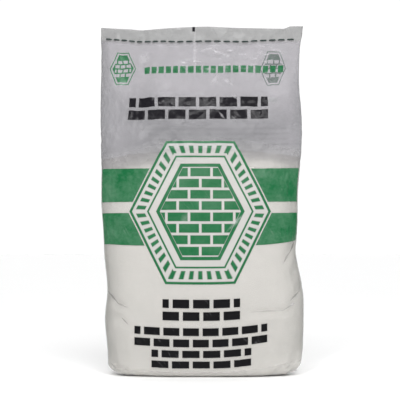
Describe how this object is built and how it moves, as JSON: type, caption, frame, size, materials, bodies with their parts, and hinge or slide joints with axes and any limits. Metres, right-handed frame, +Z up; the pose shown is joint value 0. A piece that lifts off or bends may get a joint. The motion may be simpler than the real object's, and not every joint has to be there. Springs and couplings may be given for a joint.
{
  "type": "cement bag",
  "caption": "Small upright pouch of clear plastic film, two thirds full of white cement powder, its empty top sewn shut with dark thread.",
  "frame": {"origin": "middle of the flat base, where the filled pouch rests on the floor", "axes": "+Z up, front towards -Y, +X to the right as seen from the front"},
  "size_m": [0.2099, 0.065, 0.3605],
  "materials": {
    "film": "clear polyethylene film, printed outside",
    "powder": "fine white powder, matte",
    "thread": "dark green-black polyester sewing thread"
  },
  "bodies": {
    "root": {"film_pouch": "film", "cement_powder": "powder", "closing_thread": "thread"}
  },
  "joints": []
}
